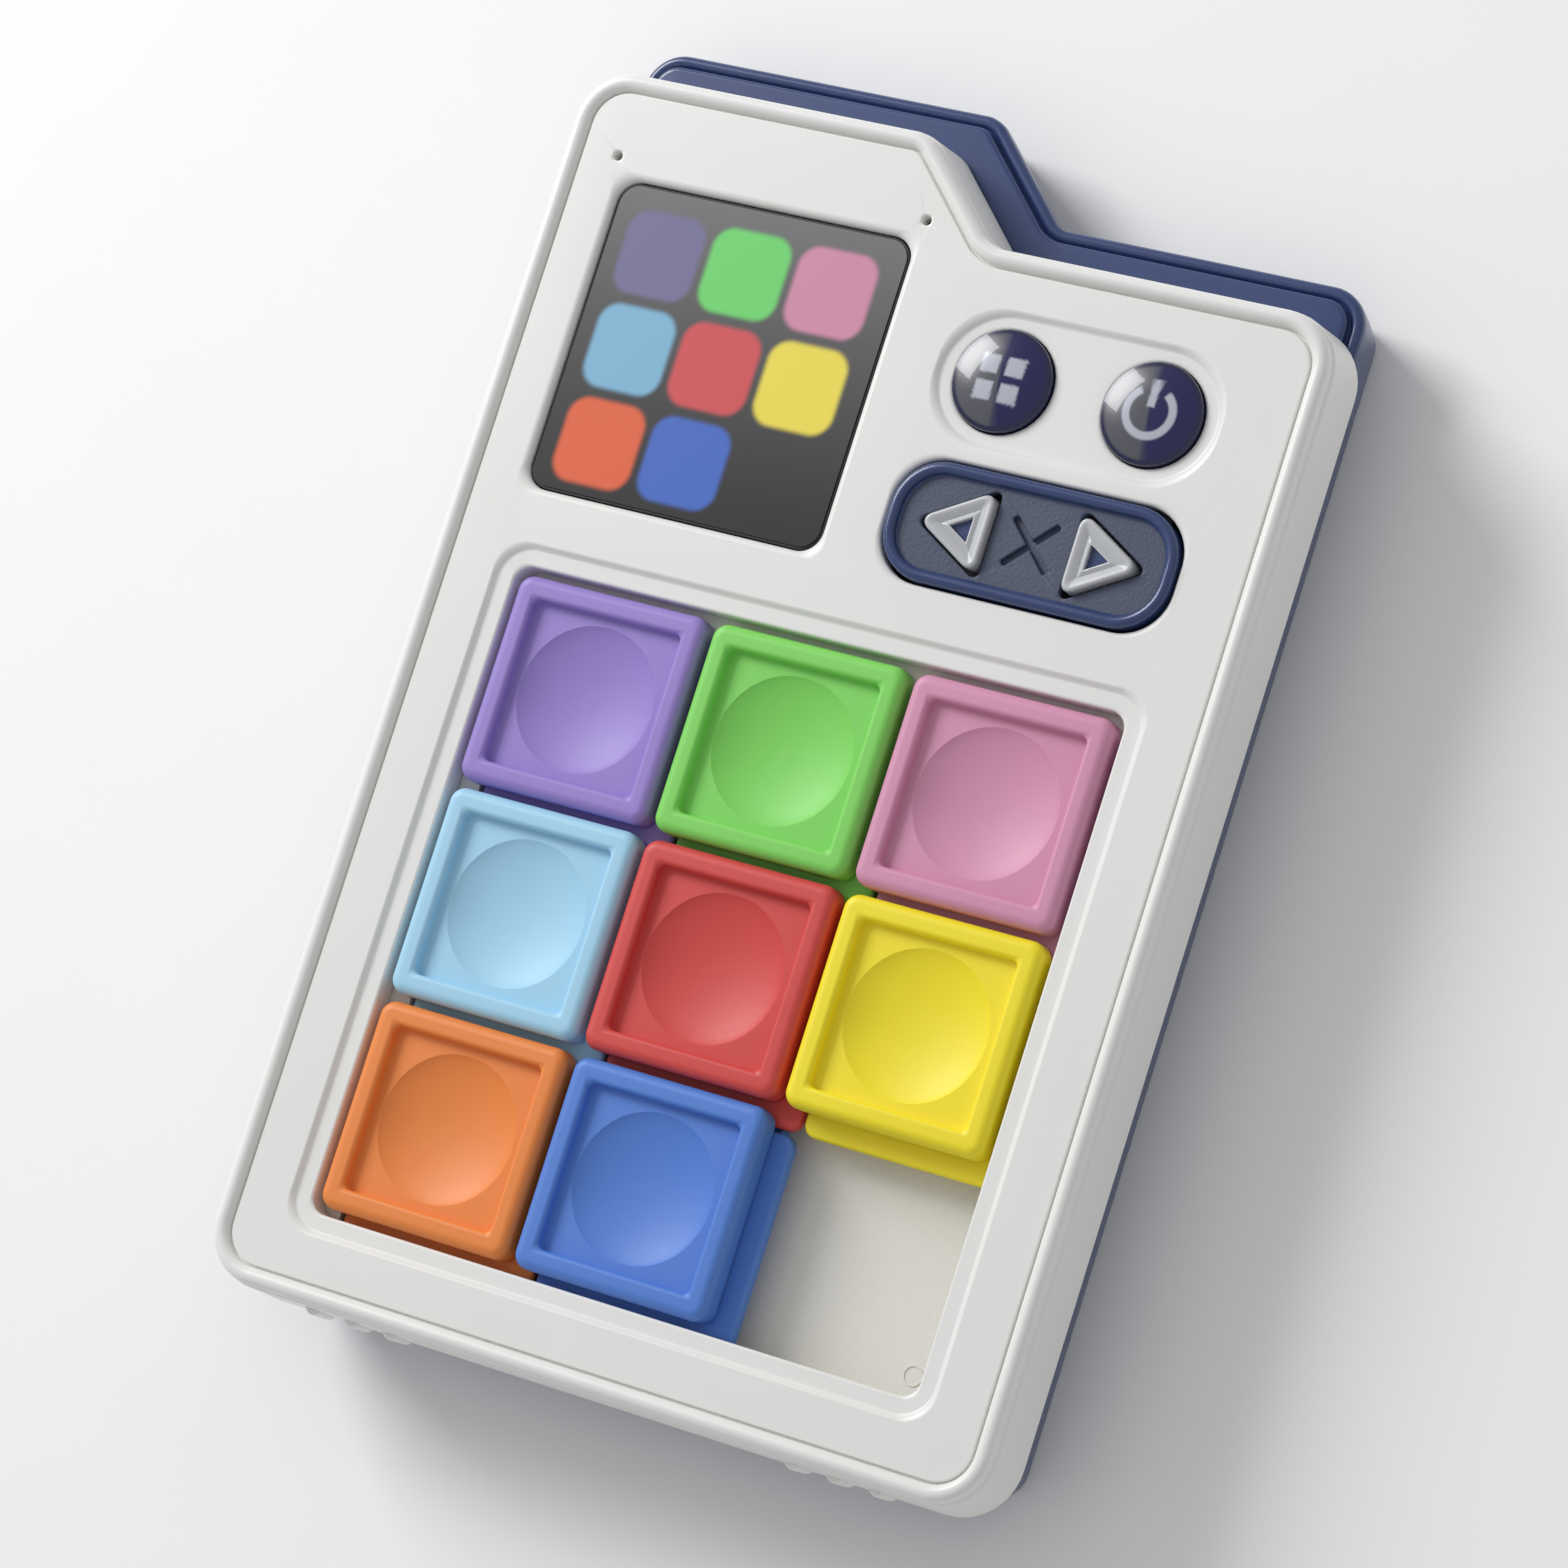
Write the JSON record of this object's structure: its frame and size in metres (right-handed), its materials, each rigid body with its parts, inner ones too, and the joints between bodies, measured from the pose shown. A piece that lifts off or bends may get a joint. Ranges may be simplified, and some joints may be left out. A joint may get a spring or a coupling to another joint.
{
  "type": "electronic sliding tile puzzle",
  "caption": "Hand-held electronic sliding tile puzzle: pale casing with a stepped top, colour screen, round and arrow keys, and dished colour tiles around one empty cell.",
  "frame": {"origin": "middle of the bounding box's bottom face: on the surface that the toy's back rests on", "axes": "+X to the player's right, +Y from the tile board towards the screen, +Z out of the face"},
  "size_m": [0.106, 0.1624, 0.022],
  "materials": {
    "white_abs": "fine-grained white moulding",
    "navy_abs": "semi-gloss navy moulding",
    "cream_abs": "smooth cream moulding",
    "tile_purple": "satin purple",
    "tile_green": "satin green",
    "tile_pink": "satin pink",
    "tile_light_blue": "satin light blue",
    "tile_red": "satin red",
    "tile_yellow": "satin yellow",
    "tile_orange": "satin orange",
    "tile_blue": "satin blue",
    "clear_lens": "clear moulded window",
    "screen_face": "colour display",
    "button_gloss": "domed clear resin over dark navy with a pale symbol",
    "key_clear": "frosted clear moulding",
    "board_green": "solder mask",
    "mat_rubber": "silicone rubber",
    "black_plastic": "black resin and paper cone",
    "cell_jacket": "plain printed cell jacket",
    "contact_steel": "nickel-plated spring steel",
    "screw_steel": "zinc-plated steel",
    "wire_black": "black insulation",
    "wire_red": "red insulation"
  },
  "bodies": {
    "casing": {"front_shell": "white_abs", "rear_shell": "navy_abs", "tile_tray": "cream_abs", "screen_lens": "clear_lens", "lcd_module": "screen_face", "main_board": "board_green", "chip_blob": "black_plastic", "key_mat": "mat_rubber", "nav_bezel": "navy_abs", "battery_1": "cell_jacket", "battery_2": "cell_jacket", "contact_bridge": "contact_steel", "contact_minus": "contact_steel", "contact_plus": "contact_steel", "spring_left": "contact_steel", "spring_right": "contact_steel", "speaker": "black_plastic", "speaker_wire_minus": "wire_black", "speaker_wire_plus": "wire_red", "battery_wire_minus": "wire_black", "battery_wire_plus": "wire_red", "case_screw_1": "screw_steel", "case_screw_2": "screw_steel", "case_screw_3": "screw_steel", "case_screw_4": "screw_steel", "case_screw_5": "screw_steel", "case_screw_6": "screw_steel", "tray_screw_1": "screw_steel", "tray_screw_2": "screw_steel", "tray_screw_3": "screw_steel", "tray_screw_4": "screw_steel", "board_screw_1": "screw_steel", "board_screw_2": "screw_steel", "board_screw_3": "screw_steel"},
    "mode_button": {"mode_button": "button_gloss"},
    "power_button": {"power_button": "button_gloss"},
    "left_arrow_key": {"left_arrow_key": "key_clear"},
    "right_arrow_key": {"right_arrow_key": "key_clear"},
    "battery_door": {"battery_door": "navy_abs", "door_screw": "screw_steel"},
    "purple_tile": {"purple_tile_cap": "tile_purple", "purple_tile_base": "tile_purple"},
    "green_tile": {"green_tile_cap": "tile_green", "green_tile_base": "tile_green"},
    "pink_tile": {"pink_tile_cap": "tile_pink", "pink_tile_base": "tile_pink"},
    "light_blue_tile": {"light_blue_tile_cap": "tile_light_blue", "light_blue_tile_base": "tile_light_blue"},
    "red_tile": {"red_tile_cap": "tile_red", "red_tile_base": "tile_red"},
    "yellow_tile": {"yellow_tile_cap": "tile_yellow", "yellow_tile_base": "tile_yellow"},
    "orange_tile": {"orange_tile_cap": "tile_orange", "orange_tile_base": "tile_orange"},
    "blue_tile": {"blue_tile_cap": "tile_blue", "blue_tile_base": "tile_blue"}
  },
  "joints": [
    {"name": "blue_tile_slide", "type": "slide", "parent": "casing", "child": "blue_tile", "axis": [1, 0, 0], "range_m": [0, 0.027]},
    {"name": "orange_tile_slide", "type": "slide", "parent": "casing", "child": "orange_tile", "axis": [1, 0, 0], "range_m": [0, 0.027]},
    {"name": "yellow_tile_slide", "type": "slide", "parent": "casing", "child": "yellow_tile", "axis": [0, 1, 0], "range_m": [-0.027, 0]},
    {"name": "pink_tile_slide", "type": "slide", "parent": "casing", "child": "pink_tile", "axis": [0, 1, 0], "range_m": [-0.027, 0]},
    {"name": "purple_tile_play", "type": "slide", "parent": "casing", "child": "purple_tile", "axis": [1, 0, 0], "range_m": [-0.0002, 0.0002]},
    {"name": "green_tile_play", "type": "slide", "parent": "casing", "child": "green_tile", "axis": [1, 0, 0], "range_m": [-0.0002, 0.0002]},
    {"name": "light_blue_tile_play", "type": "slide", "parent": "casing", "child": "light_blue_tile", "axis": [0, 1, 0], "range_m": [-0.0002, 0.0002]},
    {"name": "red_tile_play", "type": "slide", "parent": "casing", "child": "red_tile", "axis": [0, 1, 0], "range_m": [-0.0002, 0.0002]},
    {"name": "mode_button_press", "type": "slide", "parent": "casing", "child": "mode_button", "axis": [0, 0, -1], "range_m": [0, 0.001], "stiffness_N_per_m": 800},
    {"name": "power_button_press", "type": "slide", "parent": "casing", "child": "power_button", "axis": [0, 0, -1], "range_m": [0, 0.001], "stiffness_N_per_m": 800},
    {"name": "left_arrow_press", "type": "slide", "parent": "casing", "child": "left_arrow_key", "axis": [0, 0, -1], "range_m": [0, 0.0008], "stiffness_N_per_m": 800},
    {"name": "right_arrow_press", "type": "slide", "parent": "casing", "child": "right_arrow_key", "axis": [0, 0, -1], "range_m": [0, 0.0008], "stiffness_N_per_m": 800},
    {"name": "battery_door_lift", "type": "slide", "parent": "casing", "child": "battery_door", "axis": [0, 0, -1], "range_m": [0, 0.012]}
  ],
  "couplings": [
    {"joint": "orange_tile_slide", "follows": "blue_tile_slide", "ratio": 1},
    {"joint": "pink_tile_slide", "follows": "yellow_tile_slide", "ratio": 1}
  ]
}
